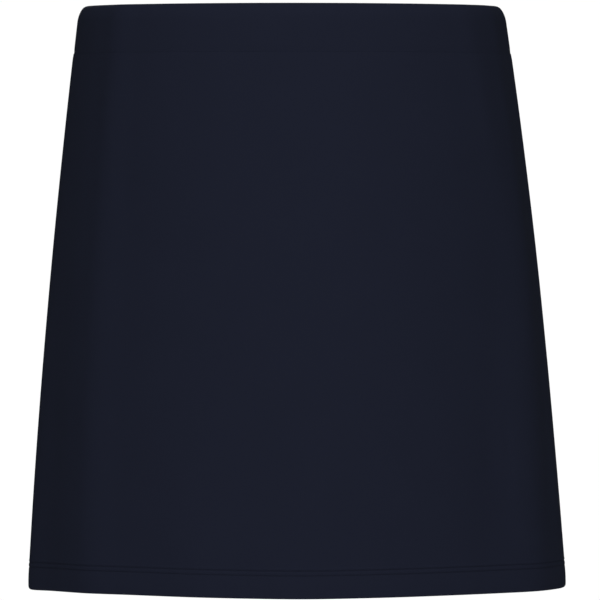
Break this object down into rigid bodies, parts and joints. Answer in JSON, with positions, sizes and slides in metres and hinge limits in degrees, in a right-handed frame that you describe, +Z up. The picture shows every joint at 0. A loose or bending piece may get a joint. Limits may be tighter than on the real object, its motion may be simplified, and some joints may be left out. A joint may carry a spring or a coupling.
{
  "type": "stretch sports skirt",
  "caption": "Plain A-line stretch jersey skirt, filled out as worn and hollow, with a wide elastic waistband and a twin-needle hem.",
  "frame": {"origin": "centre of the waist opening, level with the waistband's top edge, where the wearer's waist holds the skirt up", "axes": "+Z up out of the waist, -Y towards the front of the skirt, +X towards the viewer's right of the front; the side seams lie at y = 0"},
  "size_m": [0.4151, 0.2465, 0.4514],
  "materials": {
    "waistband_jersey": "smooth matt stretch jersey, folded double over elastic",
    "panel_jersey": "smooth matt stretch jersey"
  },
  "bodies": {
    "root": {"waistband": "waistband_jersey", "front_panel": "panel_jersey", "back_panel": "panel_jersey"}
  },
  "joints": []
}
